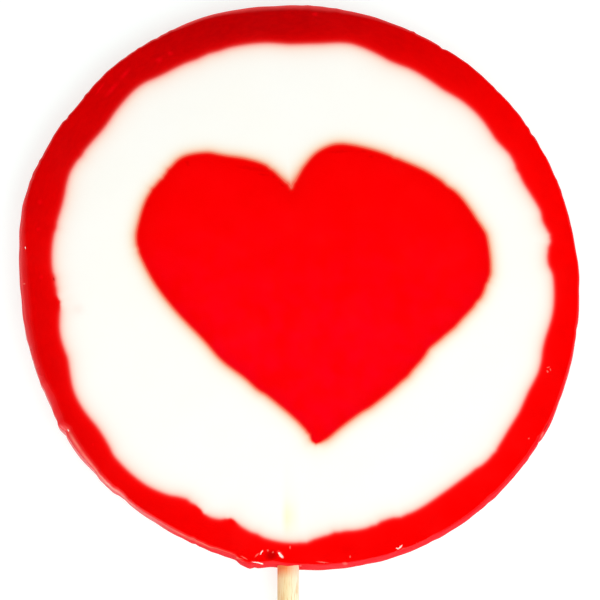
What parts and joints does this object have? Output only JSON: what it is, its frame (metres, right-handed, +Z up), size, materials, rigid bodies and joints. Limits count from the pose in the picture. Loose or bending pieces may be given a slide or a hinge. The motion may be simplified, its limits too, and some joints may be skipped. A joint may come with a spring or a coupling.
{
  "type": "heart lollipop",
  "caption": "Flat round hard-candy lollipop with a red rind, a white body and a red heart in its middle, on a long round wooden stick, lying face up.",
  "frame": {"origin": "the middle of the candy disc on its flat underside", "axes": "+Z up out of the shown face, -Y along the stick away from the disc, +X to the right as the heart is seen"},
  "size_m": [0.091, 0.2125, 0.007],
  "materials": {
    "red_rind": "satin hard sugar candy, clear red",
    "white_candy": "satin pulled sugar candy, warm white",
    "red_heart": "satin hard sugar candy, bright red",
    "birch_stick": "plain sanded birch, no lacquer"
  },
  "bodies": {
    "root": {"rind": "red_rind", "body": "white_candy", "heart": "red_heart", "stick": "birch_stick"}
  },
  "joints": []
}
